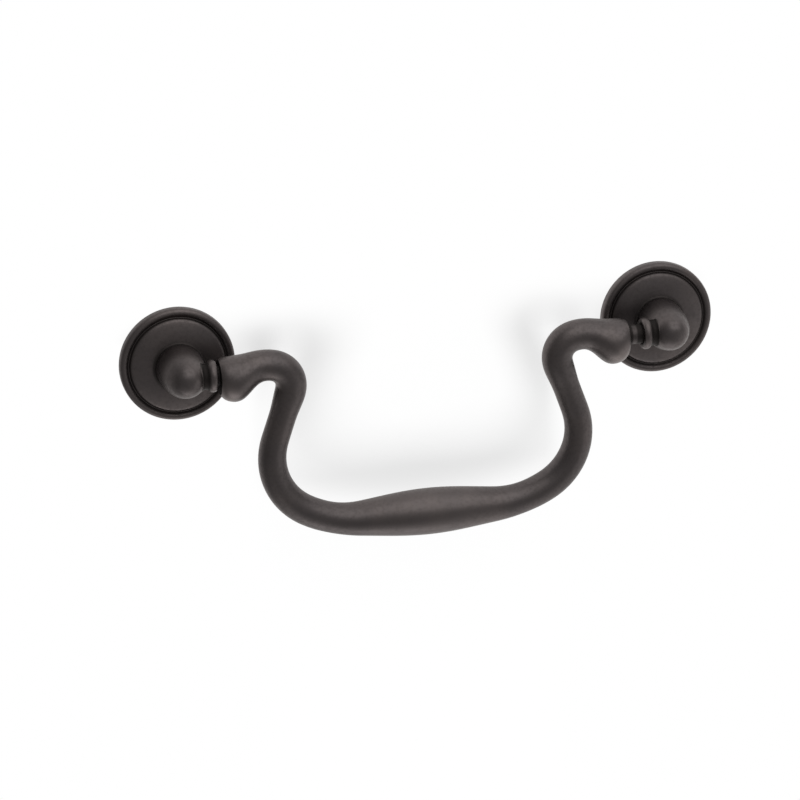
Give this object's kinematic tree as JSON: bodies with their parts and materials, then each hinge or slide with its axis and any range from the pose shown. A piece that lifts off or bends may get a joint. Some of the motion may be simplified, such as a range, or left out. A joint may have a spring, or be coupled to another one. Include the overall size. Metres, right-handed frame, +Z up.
{
  "type": "bail pull",
  "caption": "Drawer bail pull: a swelled, swan-necked bail swings between two domed posts on round moulded rosettes.",
  "frame": {"origin": "on the drawer front, midway between the two fixing holes", "axes": "+X to the right along the pivot line, +Z up, front facing -Y; the bail hangs along -Z"},
  "size_m": [0.1186, 0.015, 0.0479],
  "materials": {
    "dark_bronze": "dark oil-rubbed bronze, satin"
  },
  "bodies": {
    "posts": {"left_post": "dark_bronze", "right_post": "dark_bronze"},
    "bail": {"bail": "dark_bronze"}
  },
  "joints": [
    {"name": "bail_swing", "type": "hinge", "parent": "posts", "child": "bail", "pos_m": [0, -0.0105, 0], "axis": [-1, 0, 0], "range_deg": [-10, 190]}
  ]
}
